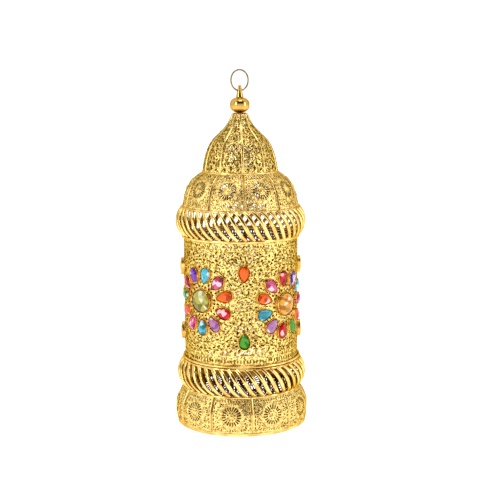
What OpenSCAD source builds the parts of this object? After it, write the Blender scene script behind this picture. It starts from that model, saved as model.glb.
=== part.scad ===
// Jewelled candle lantern: a pierced base with a candle cup, and a domed cover that lifts off it.
// Azimuth 0 is the front (-Y) and grows towards +X. Z = 0 is the surface it stands on.

/* [Body] */
// Outer radius of the body cylinder
body_r = 52.4; // [50:0.1:54]
// Height of the joint between base and cover
joint_z = 60.6; // [58:0.1:62]
// Height of the body cylinder's top edge
body_top_z = 172.4; // [168:0.1:176]
// Thickness of every pierced sheet
sheet_t = 0.8; // [0.6:0.1:1.0]

/* [Base] */
// Greatest radius of the base
base_r = 60.5; // [58:0.5:62]
// Height of the base drum's top edge
base_top_z = 33.2; // [31:0.1:35]
// Turn of the base gores against the cover, in degrees
base_turn = 5; // [0:1:10]
// Inner radius of the candle cup
cup_r = 20; // [18:0.5:22]
// Depth of the candle cup
cup_h = 11; // [8:0.5:14]

/* [Cage bands] */
// Radius of the rods' ends and of the thin rim rings
band_r = 53.4; // [53:0.1:54]
// Greatest radius of the rods' centre lines
band_bulge_r = 58.4; // [56:0.1:59]
// Number of rods in a band
rod_count = 44; // [36:1:48]
// Radius of a rod
rod_r = 1.4; // [1:0.1:1.6]
// Turn of a rod from its lower end to its upper end, in degrees
rod_twist = 14; // [10:1:16]

/* [Domes] */
// Number of gores in each dome and in the base
gore_count = 10; // [8:1:12]
// Height of the lower dome's foot
dome_foot_z = 201.4; // [200:0.1:203]
// Height where the upper dome stands on the lower one
dome_step_z = 231.7; // [230:0.1:233]
// Height of the upper dome's mouth
dome_top_z = 284; // [283:0.1:285]

/* [Stones] */
// Width of a teardrop stone
drop_w = 9.4; // [8:0.1:11]
// Length of a teardrop stone
drop_l = 14; // [12:0.5:15]
// Diameter of a round centre stone
centre_d = 20; // [18:0.5:21]
// Height of the flowers' middles
flower_z = 117; // [113:0.5:121]
// Radius of the ring that the petals' middles lie on
petal_ring_r = 23.7; // [23:0.1:25]

/* [Finial] */
// Outer diameter of the hanging ring
ring_d = 20; // [16:0.5:22]
// Wire diameter of the hanging ring
ring_wire = 1.3; // [1:0.1:1.5]
// Turn of the ring's plane about the vertical, in degrees
ring_turn = 30; // [0:5:90]

/* [Hidden] */
$fn = 64;

gold = [0.86, 0.68, 0.30];
pale_gold = [0.93, 0.80, 0.45];
dark_gold = [0.72, 0.52, 0.20];

gore_angle = 360 / gore_count;
gore_gap = 0.4;             // between neighbouring gores, in degrees
seam_proud = 0.6;           // how far a seam or rib stands out of the sheet
seam_w = 2.2;
rib_w = 2.2;
joint_gap = 0.3;            // between base and cover

rim_h = 3.2;                // height of the flat rim that the base stands on
thin_ring_r = 1.15;         // wire radius of the two rings at the joint and of the top rim
thick_ring_r = 1.6;         // wire radius of each band's bottom rim
thick_band_r = band_r - 0.6; // radius of the bottom rims
lower_band_bottom_z = base_top_z + 0.6;
lower_band_top_z = joint_z - joint_gap / 2 - thin_ring_r;
body_hem_z = joint_z + joint_gap / 2 + thin_ring_r;
upper_band_bottom_z = body_top_z + thick_ring_r;
upper_band_top_z = dome_foot_z - thin_ring_r;

skirt_drop = 7.5;           // how far the locating skirt reaches below the joint
skirt_lap = 7;              // how far it reaches up inside the body
slip = 0.02;                // between pieces that lie against each other

ball_z = 292.1;
ball_r = 9;
ball_half_h = 6.8;
ball_cut = 82;              // latitude of the flats on the ball's top and bottom, in degrees
ball_foot_z = ball_z - ball_half_h * sin(ball_cut);
cone_foot_z = ball_z + ball_half_h * sin(ball_cut);
cone_top_z = 309.8;
ring_hole_z = 305;
ring_hole_r = 1.35;
stud_r = 2;
stud_clear = 0.05;          // between the stud and the pieces on it
washer_top_z = dome_top_z - 1.2;
washer_t = 1;
nut_h = 3.2;

// A point of the cubic curve p at t, and n + 1 points along it
function bezier_point(p, t) =
  pow(1 - t, 3) * p[0] + 3 * pow(1 - t, 2) * t * p[1] + 3 * (1 - t) * t * t * p[2] + pow(t, 3) * p[3];
function bezier(p, n) = [for (i = [0:n]) bezier_point(p, i / n)];
function reversed(list) = [for (i = [len(list) - 1:-1:0]) list[i]];
// The same outline, moved by d across the axis
function inward(list, d) = [for (p = list) [p[0] - d, p[1]]];
// A closed band of thickness t inside the outline, standing proud of it by extra
function band_outline(list, t, extra = 0) = concat(inward(list, -extra), reversed(inward(list, t)));

// Outer outlines, from foot to top, as [radius, height]
lower_dome_line = bezier(
  [[body_r + 0.6, dome_foot_z], [49.6, dome_foot_z + 11], [50.6, dome_foot_z + 21], [34.7, dome_step_z]], 10);
upper_dome_line = bezier(
  [[34.2, dome_step_z], [29.6, dome_step_z + 39.5], [15.3, dome_step_z + 28.7], [8, dome_top_z]], 14);
base_line = concat(
  [[base_r - 0.7, rim_h], [base_r, 10]],
  bezier([[base_r, 17], [base_r + 0.4, 20], [band_r + 4.4, 26.3], [band_r + 0.8, base_top_z]], 6));

// Copies its children round the axis
module around(count) {
  for (i = [0:count - 1]) rotate([0, 0, i * 360 / count]) children();
}

// Turns its children from the +X side to azimuth a
module at_azimuth(a) {
  rotate([0, 0, a - 90]) children();
}

module wire_ring(r, z, wire_r) {
  translate([0, 0, z]) rotate_extrude($fn = 128) translate([r, 0]) circle(r = wire_r, $fn = 24);
}

// One gore: a sector of the sheet whose middle is at azimuth a
module gore(line, a) {
  at_azimuth(a)
    rotate_extrude(angle = gore_angle - gore_gap, start = -(gore_angle - gore_gap) / 2, $fn = 128)
      polygon(band_outline(line, sheet_t));
}

// One strip of constant width that follows the outline at azimuth a
module strip(line, a, w) {
  at_azimuth(a) rotate([90, 0, 0]) linear_extrude(height = w, center = true)
    polygon(band_outline(line, sheet_t / 2, seam_proud));
}

// ---- Finial and ring ----

module hang_ring() {
  mid_r = (ring_d - ring_wire) / 2;
  color(dark_gold) translate([0, 0, ring_hole_z + mid_r]) rotate([0, 0, ring_turn]) rotate([90, 0, 0])
    rotate_extrude($fn = 96) translate([mid_r, 0]) circle(r = ring_wire / 2, $fn = 20);
}

module finial_spike() {
  foot_r = 3.5;
  tip_r = 1.4;
  stud_foot_z = washer_top_z - washer_t - nut_h - 2.6;
  color(gold) difference() {
    union() {
      translate([0, 0, cone_foot_z]) cylinder(r1 = foot_r, r2 = tip_r, h = cone_top_z - cone_foot_z);
      translate([0, 0, stud_foot_z]) cylinder(r = stud_r, h = cone_foot_z - stud_foot_z + 1);
    }
    translate([0, 0, ring_hole_z]) rotate([0, 0, ring_turn]) rotate([0, 90, 0])
      cylinder(r = ring_hole_r, h = 4 * foot_r, center = true);
  }
}

module finial_ball() {
  seam_z = ball_z - 3.4;
  seam_r = 7.8;
  steps = 8;
  line = [for (i = [-steps:steps])
    let (a = i * ball_cut / steps) [ball_r * cos(a), ball_z + ball_half_h * sin(a)]];
  color(gold) difference() {
    rotate_extrude() polygon(concat(line, [[0, line[2 * steps][1]], [0, ball_foot_z]]));
    translate([0, 0, ball_foot_z - 1]) cylinder(r = stud_r + stud_clear, h = 2 * ball_half_h + 2);
    translate([0, 0, seam_z]) rotate_extrude() translate([seam_r, 0]) circle(r = 0.3, $fn = 16);
  }
}

module finial_collar() {
  foot_r = 8;
  foot_h = 0.6;
  neck_r = 6.6;
  tall = ball_foot_z - dome_top_z - 2 * slip;
  color(gold) translate([0, 0, dome_top_z + slip]) difference() {
    union() {
      cylinder(r = foot_r, h = foot_h);
      cylinder(r = neck_r, h = tall);
    }
    translate([0, 0, -1]) cylinder(r = stud_r + stud_clear, h = tall + 2);
  }
}

module finial_washer() {
  washer_r = 7;
  color(dark_gold) translate([0, 0, washer_top_z - washer_t]) difference() {
    cylinder(r = washer_r, h = washer_t);
    translate([0, 0, -1]) cylinder(r = stud_r + stud_clear, h = washer_t + 2);
  }
}

module finial_nut() {
  corner_r = 3.9;
  color(dark_gold) translate([0, 0, washer_top_z - washer_t - nut_h]) difference() {
    cylinder(r = corner_r, h = nut_h, $fn = 6);
    translate([0, 0, -1]) cylinder(r = stud_r + slip, h = nut_h + 2);
  }
}

// ---- Domes ----

module upper_dome_gores() {
  color(pale_gold) for (i = [0:gore_count - 1]) gore(upper_dome_line, (i + 0.5) * gore_angle);
}

module upper_dome_ribs() {
  color(gold) for (i = [0:gore_count - 1]) strip(upper_dome_line, i * gore_angle, rib_w);
}

module upper_dome_hem() {
  hem_h = 1.8;
  hem_t = 1;
  hem_lap = 0.4;
  foot_r = upper_dome_line[0][0];
  color(gold) translate([0, 0, dome_step_z - hem_lap]) difference() {
    cylinder(r = foot_r + hem_t, h = hem_h);
    translate([0, 0, -1]) cylinder(r = foot_r - sheet_t, h = hem_h + 2);
  }
}

module lower_dome_gore(i) {
  color(pale_gold) gore(lower_dome_line, (i - 0.5) * gore_angle);
}

module lower_dome_seams() {
  color(gold) for (i = [0:gore_count - 1]) strip(lower_dome_line, i * gore_angle, seam_w);
}

// ---- Cage bands ----

// The rods between two rims: equal arcs that lean over and bulge outwards
module band_rods(bottom_z, top_z) {
  half_turn = rod_twist / 2;
  half_wide = band_r * sin(half_turn);
  half_tall = (top_z - bottom_z) / 2;
  half_chord = sqrt(half_wide * half_wide + half_tall * half_tall);
  chord_r = band_r * cos(half_turn);
  rise = band_bulge_r - chord_r;
  arc_r = (half_chord * half_chord + rise * rise) / (2 * rise);
  half_arc = asin(half_chord / arc_r);
  lean = atan(half_wide / half_tall);
  color(pale_gold) translate([0, 0, (top_z + bottom_z) / 2]) around(rod_count)
    rotate([lean, 0, 0]) translate([band_bulge_r - arc_r, 0, 0]) rotate([90, 0, 0])
      rotate_extrude(angle = 2 * half_arc, start = -half_arc) translate([arc_r, 0]) circle(r = rod_r, $fn = 20);
}

module upper_band_rods() { band_rods(upper_band_bottom_z, upper_band_top_z); }
module upper_band_top_ring() { color(gold) wire_ring(band_r, upper_band_top_z, thin_ring_r); }
module upper_band_bottom_ring() { color(pale_gold) wire_ring(thick_band_r, upper_band_bottom_z, thick_ring_r); }
module lower_band_rods() { band_rods(lower_band_bottom_z, lower_band_top_z); }
module lower_band_top_ring() { color(gold) wire_ring(band_r, lower_band_top_z, thin_ring_r); }
module lower_band_bottom_ring() { color(pale_gold) wire_ring(thick_band_r, lower_band_bottom_z, thick_ring_r); }

// ---- Body ----

module body_sheet() {
  foot_z = body_hem_z;
  color(gold) translate([0, 0, foot_z]) difference() {
    cylinder(r = body_r, h = body_top_z - foot_z, $fn = 128);
    translate([0, 0, -1]) cylinder(r = body_r - sheet_t, h = body_top_z - foot_z + 2, $fn = 128);
  }
}

module body_hem_ring() { color(gold) wire_ring(band_r, body_hem_z, thin_ring_r); }

module locating_skirt() {
  out_r = body_r - sheet_t - slip;
  tall = skirt_drop + skirt_lap;
  color(dark_gold) translate([0, 0, joint_z - skirt_drop]) difference() {
    cylinder(r = out_r, h = tall, $fn = 128);
    translate([0, 0, -1]) cylinder(r = out_r - sheet_t, h = tall + 2, $fn = 128);
  }
}

// ---- Stones ----

setting_wall = 0.8;
setting_floor = 0.5;
setting_h = 2.2;
stone_h = 3.9;
stone_clear = 0.05;
seat_sink = 0.5;            // how far a setting's floor lies inside the body's surface

drop_taper = 0.6;           // how much a drop narrows towards its point: 0 is an oval
drop_norm = max([for (a = [90:130]) sin(a) * pow(sin(a / 2), drop_taper)]);

// A drop's outline with swelling sides, its point along +Y, grown by g all round
module drop_outline(g = 0) {
  steps = 28;
  polygon([for (i = [0:steps - 1]) let (a = i * 360 / steps)
    [(drop_w / 2 + g) * sin(a) * pow(sin(a / 2), drop_taper) / drop_norm, (drop_l / 2 + g) * cos(a)]]);
}

// Puts a flat piece drawn in XY on the body at azimuth a and height z, turned by spin clockwise
module on_body(a, z, spin = 0) {
  rotate([0, 0, a]) translate([0, -body_r + seat_sink, z]) rotate([90, 0, 0]) rotate([0, 0, -spin]) children();
}

// Each flower's middle azimuth and height
FLOWERS = [[-45.5, flower_z + 2.7], [43.9, flower_z - 1.3], [135, flower_z], [-135, flower_z + 1]];
// Directions of each flower's petals, clockwise from the top, as the maker's hand set them
FIRST_ANGLES = [11, 44, 77, 113, 146, 178, 209, 241, 276, 306, 338];
SECOND_ANGLES = [352, 26, 56, 87, 122, 155, 190, 221, 253, 287, 318];
PETAL_ANGLES = [FIRST_ANGLES, SECOND_ANGLES, FIRST_ANGLES, SECOND_ANGLES];
// Each flower's petal colours, in the same order
PETAL_COLOURS = [
  ["turquoise", "pink", "orange", "red", "lilac", "turquoise", "magenta", "coral", "green", "red", "purple"],
  ["red", "purple", "turquoise", "magenta", "coral", "green", "red", "lilac", "turquoise", "orange", "pink"],
  ["pink", "orange", "turquoise", "purple", "red", "green", "coral", "turquoise", "lilac", "magenta", "orange"],
  ["red", "turquoise", "lilac", "orange", "magenta", "purple", "green", "pink", "turquoise", "coral", "red"]
];
// Single drops between the flowers
DROP_AZIMUTHS = [-1.2, 90, 180, -90];
upper_drop_z = 145.7;
lower_drop_z = 85.7;

// Puts its children at every petal of one colour, or at all of them
module at_petals(colour = "") {
  for (f = [0:len(FLOWERS) - 1]) for (k = [0:len(PETAL_COLOURS[f]) - 1]) {
    if (colour == "" || PETAL_COLOURS[f][k] == colour) {
      a = PETAL_ANGLES[f][k];
      across = petal_ring_r * sin(a);
      on_body(FLOWERS[f][0] + across / body_r * 180 / PI, FLOWERS[f][1] + petal_ring_r * cos(a), a + 180)
        children();
    }
  }
}

module at_drops(z, spin) {
  for (a = DROP_AZIMUTHS) on_body(a, z, spin) children();
}

module drop_setting() {
  difference() {
    linear_extrude(height = setting_h) drop_outline(setting_wall);
    translate([0, 0, setting_floor]) linear_extrude(height = setting_h) drop_outline(stone_clear);
  }
}

// A domed stone on the floor of its setting
module drop_stone() {
  dome_r = 12;
  translate([0, 0, setting_floor]) intersection() {
    linear_extrude(height = stone_h) drop_outline();
    translate([0, -1, stone_h - dome_r]) sphere(r = dome_r, $fn = 48);
  }
}

module centre_stone() {
  dome_r = 19;
  translate([0, 0, setting_floor]) intersection() {
    cylinder(d = centre_d, h = stone_h + 1);
    translate([0, 0, stone_h + 1 - dome_r]) sphere(r = dome_r);
  }
}

module centre_setting() {
  out_r = centre_d / 2 + setting_wall;
  difference() {
    cylinder(r = out_r, h = setting_h + 0.6);
    translate([0, 0, setting_floor]) cylinder(r = centre_d / 2 + stone_clear, h = setting_h + 1);
  }
}

module petal_settings() { color(dark_gold) at_petals() drop_setting(); }
module drop_settings() {
  color(dark_gold) {
    at_drops(upper_drop_z, 180) drop_setting();
    at_drops(lower_drop_z, 0) drop_setting();
  }
}
module centre_settings() { color(dark_gold) for (f = FLOWERS) on_body(f[0], f[1]) centre_setting(); }

module stones_purple() { color([0.59, 0.31, 0.78]) at_petals("purple") drop_stone(); }
module stones_turquoise() { color([0.35, 0.75, 0.85]) at_petals("turquoise") drop_stone(); }
module stones_pink() { color([0.85, 0.45, 0.60]) at_petals("pink") drop_stone(); }
module stones_orange() {
  color([0.94, 0.43, 0.08]) {
    at_petals("orange") drop_stone();
    at_drops(upper_drop_z, 180) drop_stone();
  }
}
module stones_red() { color([0.84, 0.16, 0.18]) at_petals("red") drop_stone(); }
module stones_lilac() { color([0.80, 0.62, 0.82]) at_petals("lilac") drop_stone(); }
module stones_magenta() { color([0.88, 0.20, 0.59]) at_petals("magenta") drop_stone(); }
module stones_coral() { color([0.92, 0.42, 0.30]) at_petals("coral") drop_stone(); }
module stones_green() {
  color([0.25, 0.67, 0.24]) {
    at_petals("green") drop_stone();
    at_drops(lower_drop_z, 0) drop_stone();
  }
}
module centre_stones_olive() {
  color([0.69, 0.65, 0.27]) for (f = [FLOWERS[0], FLOWERS[2]]) on_body(f[0], f[1]) centre_stone();
}
module centre_stones_amber() {
  color([0.88, 0.59, 0.24]) for (f = [FLOWERS[1], FLOWERS[3]]) on_body(f[0], f[1]) centre_stone();
}

// ---- Base ----

module base_gore(i) {
  color(pale_gold) gore(base_line, base_turn + (i - 0.5) * gore_angle);
}

module base_seams() {
  color(gold) for (i = [0:gore_count - 1]) strip(base_line, base_turn + i * gore_angle, seam_w);
}

rim_in_r = base_r - 3.4;
module base_hem_ring() {
  rim_r = base_r - 0.6;
  round_h = 0.8;
  color(gold) rotate_extrude($fn = 128) polygon([
    [rim_in_r, 0], [rim_r - round_h, 0], [rim_r, round_h],
    [rim_r, rim_h - round_h], [rim_r - round_h, rim_h], [rim_in_r, rim_h]
  ]);
}

plate_t = 1;
cup_foot_z = plate_t + slip;
rivet_r = 1.2;
rivet_head_r = 1.9;
rivet_ring_r = 12;

module bottom_plate() {
  color(dark_gold) cylinder(r = rim_in_r - slip, h = plate_t, $fn = 128);
}

// A rivet's place in the cup's floor, grown by g all round: a shank hole that opens into a cone
module rivet_shape(g = 0) {
  translate([rivet_ring_r, 0, -g]) {
    cylinder(r = rivet_r + g, h = sheet_t / 2);
    cylinder(r1 = rivet_r + g, r2 = rivet_head_r + g, h = sheet_t + 2 * g);
  }
}

module candle_cup() {
  color(gold) translate([0, 0, cup_foot_z]) difference() {
    cylinder(r = cup_r + sheet_t, h = cup_h + sheet_t);
    translate([0, 0, sheet_t]) cylinder(r = cup_r, h = cup_h + 1);
    around(3) rivet_shape(slip);
  }
}

// Rivets whose cone heads lie flush in the cup's floor; they stand on the floor plate
module cup_rivets() {
  color(dark_gold) translate([0, 0, cup_foot_z]) around(3) rivet_shape();
}

hang_ring();
finial_spike();
finial_ball();
finial_collar();
finial_washer();
finial_nut();
upper_dome_gores();
upper_dome_ribs();
upper_dome_hem();
lower_dome_gore(1);  // lower_dome_gore_01
lower_dome_gore(2);  // lower_dome_gore_02
lower_dome_gore(3);  // lower_dome_gore_03
lower_dome_gore(4);  // lower_dome_gore_04
lower_dome_gore(5);  // lower_dome_gore_05
lower_dome_gore(6);  // lower_dome_gore_06
lower_dome_gore(7);  // lower_dome_gore_07
lower_dome_gore(8);  // lower_dome_gore_08
lower_dome_gore(9);  // lower_dome_gore_09
lower_dome_gore(10);  // lower_dome_gore_10
lower_dome_seams();
upper_band_top_ring();
upper_band_rods();
upper_band_bottom_ring();
body_sheet();
body_hem_ring();
locating_skirt();
petal_settings();
centre_settings();
drop_settings();
stones_purple();
stones_turquoise();
stones_pink();
stones_orange();
stones_red();
stones_lilac();
stones_magenta();
stones_coral();
stones_green();
centre_stones_olive();
centre_stones_amber();
base_gore(1);  // base_gore_01
base_gore(2);  // base_gore_02
base_gore(3);  // base_gore_03
base_gore(4);  // base_gore_04
base_gore(5);  // base_gore_05
base_gore(6);  // base_gore_06
base_gore(7);  // base_gore_07
base_gore(8);  // base_gore_08
base_gore(9);  // base_gore_09
base_gore(10);  // base_gore_10
base_seams();
lower_band_top_ring();
lower_band_rods();
lower_band_bottom_ring();
base_hem_ring();
bottom_plate();
candle_cup();
cup_rivets();
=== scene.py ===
"""Looks of the candle lantern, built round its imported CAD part. Lengths are in millimetres and angles in
degrees until a mesh is written; azimuth 0 is the front (-Y) and grows towards +X."""

import math
import random

import bpy
import numpy as np
from mathutils import Matrix, Vector
from mathutils.geometry import delaunay_2d_cdt


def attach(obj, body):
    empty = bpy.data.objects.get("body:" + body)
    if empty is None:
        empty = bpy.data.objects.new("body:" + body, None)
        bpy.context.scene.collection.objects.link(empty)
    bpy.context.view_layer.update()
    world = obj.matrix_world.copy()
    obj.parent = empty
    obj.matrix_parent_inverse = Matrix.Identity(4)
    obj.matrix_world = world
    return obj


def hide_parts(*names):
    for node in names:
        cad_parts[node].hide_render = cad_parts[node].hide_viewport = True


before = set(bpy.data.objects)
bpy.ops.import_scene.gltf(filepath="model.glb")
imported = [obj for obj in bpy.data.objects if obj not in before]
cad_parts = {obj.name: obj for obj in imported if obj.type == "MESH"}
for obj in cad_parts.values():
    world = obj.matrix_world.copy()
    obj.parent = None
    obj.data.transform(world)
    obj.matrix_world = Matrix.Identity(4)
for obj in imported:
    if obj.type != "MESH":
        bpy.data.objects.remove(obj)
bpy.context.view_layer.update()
random.seed(7)
MM = 0.001

# ---- Sizes, as in the CAD part ----
BODY_R, SHEET_T = 52.4, 0.8
BODY_FOOT_Z, BODY_TOP_Z = 61.9, 172.4
JOINT_Z = 60.6
BASE_R, RIM_H, BASE_TOP_Z, BASE_TURN = 60.5, 3.2, 33.2, 5
BAND_R, THICK_BAND_R, BULGE_R, ROD_COUNT, ROD_TWIST = 53.4, 52.8, 58.4, 44, 14
THIN_R, THICK_R = 1.15, 1.6
DOME_FOOT_Z, DOME_STEP_Z, DOME_TOP_Z, UPPER_DOME_R = 201.4, 231.7, 284, 34.2
JOINT_GAP = 0.15            # from the joint to the ring on either side of it
LOWER_BAND = (BASE_TOP_Z + 0.6, JOINT_Z - JOINT_GAP - THIN_R)       # heights of its two rings
UPPER_BAND = (BODY_TOP_Z + THICK_R, DOME_FOOT_Z - THIN_R)
BODY_HEM_Z = JOINT_Z + JOINT_GAP + THIN_R
GORES, GORE_ANGLE = 10, 36
HALF_GORE = math.radians(GORE_ANGLE / 2)
DROP_W, DROP_L, DROP_TAPER, CENTRE_R, PETAL_RING_R = 9.4, 14, 0.6, 10, 23.7
SEAT_SINK = 0.5             # how deep a setting's foot sits in the wall
FLOWERS = [(-45.5, 119.7), (43.9, 115.7), (135, 117), (-135, 118)]      # azimuth, height
FIRST_ANGLES = [11, 44, 77, 113, 146, 178, 209, 241, 276, 306, 338]
SECOND_ANGLES = [352, 26, 56, 87, 122, 155, 190, 221, 253, 287, 318]
PETAL_ANGLES = [FIRST_ANGLES, SECOND_ANGLES, FIRST_ANGLES, SECOND_ANGLES]
PETAL_COLOURS = [
    "turquoise pink orange red lilac turquoise magenta coral green red purple".split(),
    "red purple turquoise magenta coral green red lilac turquoise orange pink".split(),
    "pink orange turquoise purple red green coral turquoise lilac magenta orange".split(),
    "red turquoise lilac orange magenta purple green pink turquoise coral red".split(),
]
DROP_AZIMUTHS = [-1.2, 90, 180, -90]
UPPER_DROP_Z, LOWER_DROP_Z = 145.7, 85.7
BALL_Z, BALL_R, BALL_HALF_H = 292.1, 9, 6.8
RING_TURN, RING_HOLE_Z, RING_MID_R = 30, 305, 9.35


# ---- Meshes ----

class Build:
    """Vertices and faces of one piece, gathered shell by shell."""

    def __init__(self):
        self.verts, self.faces, self.mats = [], [], []

    def add(self, verts, faces, second=(), matrix=None):
        """Adds a shell. The faces in second get the piece's second material."""
        start = len(self.verts)
        if matrix is not None:
            verts = [matrix @ Vector(v) for v in verts]
        self.verts += [tuple(v) for v in verts]
        for mat, group in enumerate((faces, second)):
            self.faces += [tuple(i + start for i in f) for f in group]
            self.mats += [mat] * len(group)
        return self


def add_object(name, data):
    obj = bpy.data.objects.new(name, data)
    bpy.context.scene.collection.objects.link(obj)
    return obj


def piece(node, kind, build, materials, body="cover", smooth_angle=38):
    """Makes the object that stands for a node, smooth apart from edges sharper than smooth_angle."""
    name = f"{node}_{kind}"
    mesh = bpy.data.meshes.new(name)
    mesh.from_pydata([(x * MM, y * MM, z * MM) for x, y, z in build.verts], [], build.faces)
    for material in materials:
        mesh.materials.append(material)
    mesh.polygons.foreach_set("material_index", build.mats)
    mesh.validate()
    if smooth_angle:
        mesh.shade_smooth()
        mesh.set_sharp_from_angle(angle=math.radians(smooth_angle))
    obj = add_object(name, mesh)
    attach(obj, body)
    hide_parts(node)
    return obj


def polar(r, azimuth, z):
    a = math.radians(azimuth)
    return (r * math.sin(a), -r * math.cos(a), z)


def turns(n, offset=0):
    """n equal steps of a full turn, in radians."""
    return [2 * math.pi * (i + offset) / n for i in range(n)]


def grid_faces(rows, cols, close_rows=False):
    """Quads between rows of points that each go round and close."""
    out = []
    for i in range(rows if close_rows else rows - 1):
        low, high = i * cols, (i + 1) % rows * cols
        for j in range(cols):
            k = (j + 1) % cols
            out.append((low + j, low + k, high + k, high + j))
    return out


def lathe(outline, segments=128):
    """A closed outline of (radius, z) points, counter-clockwise, turned about the axis."""
    verts = []
    for r, z in outline:
        verts += [polar(r, 360 * j / segments, z) for j in range(segments)]
    return Build().add(verts, grid_faces(len(outline), segments, close_rows=True))


def tube(build, path, firsts, section, closed=False):
    """Sweeps a section of (first, second) points along path. firsts are the directions of its first axis."""
    path = np.array(path, float)
    n, m = len(path), len(section)
    if closed:
        tangent = np.roll(path, -1, 0) - np.roll(path, 1, 0)
    else:
        tangent = np.gradient(path, axis=0)
    tangent /= np.linalg.norm(tangent, axis=1, keepdims=True)
    first = np.array(firsts, float)
    first -= tangent * (first * tangent).sum(1, keepdims=True)
    first /= np.linalg.norm(first, axis=1, keepdims=True)
    second = np.cross(tangent, first)
    sec = np.array(section, float)[None]
    verts = path[:, None] + first[:, None] * sec[..., :1] + second[:, None] * sec[..., 1:]
    faces = grid_faces(n, m, close_rows=closed)
    if not closed:
        faces += [tuple(range(m))[::-1], tuple(range((n - 1) * m, n * m))]
    return build.add(verts.reshape(-1, 3).tolist(), faces)


def oval(a, b, n=14, power=1.0):
    """Points round an oval. A power below 1 makes it fuller."""
    out = []
    for t in turns(n):
        c, s = math.cos(t), math.sin(t)
        out.append((a * math.copysign(abs(c) ** power, c), b * math.copysign(abs(s) ** power, s)))
    return out


def ring(r, z, wire_r):
    """A closed ring of round wire."""
    angles = [360 * i / 160 for i in range(160)]
    return tube(Build(), [polar(r, a, z) for a in angles], [polar(1, a, 0) for a in angles],
                oval(wire_r, wire_r, 12), closed=True)


# ---- Outlines ----

def bezier(p, n):
    """n steps along the cubic curve with the four control points p."""
    p = np.array(p, float)
    t = np.linspace(0, 1, n + 1)[:, None]
    u = 1 - t
    return (u ** 3 * p[0] + 3 * u ** 2 * t * p[1] + 3 * u * t * t * p[2] + t ** 3 * p[3]).tolist()


class Line:
    """An outline in the (radius, z) plane, measured by its length s from the foot."""

    def __init__(self, points):
        self.p = np.array(points, float)
        self.s = np.r_[0, np.cumsum(np.linalg.norm(np.diff(self.p, axis=0), axis=1))]
        self.length = self.s[-1]
        d = np.gradient(self.p, self.s, axis=0)
        d /= np.linalg.norm(d, axis=1, keepdims=True)
        self.n = np.c_[d[:, 1], -d[:, 0]]

    def at(self, s):
        """Radius, z and the outward normal's two parts."""
        return [np.interp(s, self.s, column) for column in (*self.p.T, *self.n.T)]

    def half_width(self, s):
        """Half the width of a gore."""
        return float(np.interp(s, self.s, self.p[:, 0])) * HALF_GORE


LOWER_DOME = Line(bezier([[BODY_R + 0.6, DOME_FOOT_Z], [49.6, DOME_FOOT_Z + 11], [50.6, DOME_FOOT_Z + 21],
                          [34.7, DOME_STEP_Z]], 48))
UPPER_DOME = Line(bezier([[UPPER_DOME_R, DOME_STEP_Z], [29.6, DOME_STEP_Z + 39.5], [15.3, DOME_STEP_Z + 28.7],
                          [7.2, DOME_TOP_Z]], 64))
BASE_LINE = Line([[BASE_R - 0.7, RIM_H], [BASE_R - 0.25, 6], [BASE_R, 10], [BASE_R, 13.5]] + bezier(
    [[BASE_R, 17], [BASE_R + 0.4, 20], [BAND_R + 4.4, 26.3], [BAND_R + 0.8, BASE_TOP_Z]], 32))


# ---- Pierced sheet ----

def turned(points, x, y, angle):
    """Points turned about the origin, then moved to (x, y)."""
    c, s = math.cos(math.radians(angle)), math.sin(math.radians(angle))
    return [(x + u * c - v * s, y + u * s + v * c) for u, v in points]


def slot(x, y, angle, length, width, bend=0.0):
    """A slot with pointed ends, straight or bent."""
    h, w = length / 2, width / 2
    points = [(-h, 0), (-h + w, -w), (h - w, -w), (h, 0), (h - w, w), (-h + w, w)]
    if bend:
        points = points[:2] + [(0, -w)] + points[2:5] + [(0, w)] + points[5:]
        points = [(u, v + bend * (1 - (u / h) ** 2)) for u, v in points]
    return turned(points, x, y, angle)


def dot(x, y, r, n=6):
    return [(x + r * math.cos(a), y + r * math.sin(a)) for a in turns(n, 0.5)]


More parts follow.
